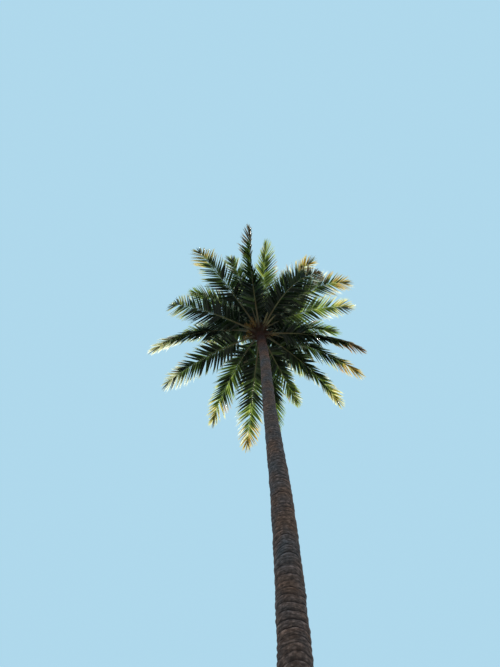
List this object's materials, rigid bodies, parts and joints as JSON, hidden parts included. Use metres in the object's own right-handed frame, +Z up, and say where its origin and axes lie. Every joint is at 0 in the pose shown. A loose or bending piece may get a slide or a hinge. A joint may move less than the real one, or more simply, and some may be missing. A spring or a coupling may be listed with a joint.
{
  "type": "coconut palm tree",
  "caption": "Tall coconut palm with a gently swaying ringed trunk, flared foot and a full crown of arching feather fronds.",
  "frame": {"origin": "centre of the flat cut under the trunk, at ground level", "axes": "+Z up along the trunk, +X to the right in the picture, +Y away from the camera"},
  "size_m": [7.5465, 7.3124, 22.0294],
  "materials": {
    "bark": "matte",
    "leaf_fibre": "matte",
    "leaf": "satin",
    "young_leaf": "satin",
    "spathe": "satin",
    "flower": "matte"
  },
  "bodies": {
    "root": {"crown_heart": "leaf_fibre", "flower_branch_1": "flower", "flower_branch_2": "flower", "flower_branch_3": "flower", "flower_branch_4": "flower", "flower_branch_5": "flower", "frond_low_1": "leaf", "frond_low_2": "leaf", "frond_low_3": "leaf", "frond_low_4": "leaf", "frond_low_5": "leaf", "frond_low_6": "leaf", "frond_low_7": "leaf", "frond_middle_1": "leaf", "frond_middle_2": "leaf", "frond_middle_3": "leaf", "frond_middle_4": "leaf", "frond_middle_5": "leaf", "frond_middle_6": "leaf", "frond_middle_7": "leaf", "frond_upper_1": "leaf", "frond_upper_2": "leaf", "frond_upper_3": "leaf", "frond_upper_4": "leaf", "frond_upper_5": "leaf", "frond_upper_6": "leaf", "frond_upper_7": "leaf", "frond_upper_8": "leaf", "frond_upper_9": "leaf", "frond_young_1": "leaf", "frond_young_2": "leaf", "frond_young_3": "leaf", "frond_young_4": "leaf", "spathe_1": "spathe", "spathe_2": "spathe", "spear_leaf": "young_leaf", "trunk": "bark"}
  },
  "joints": []
}
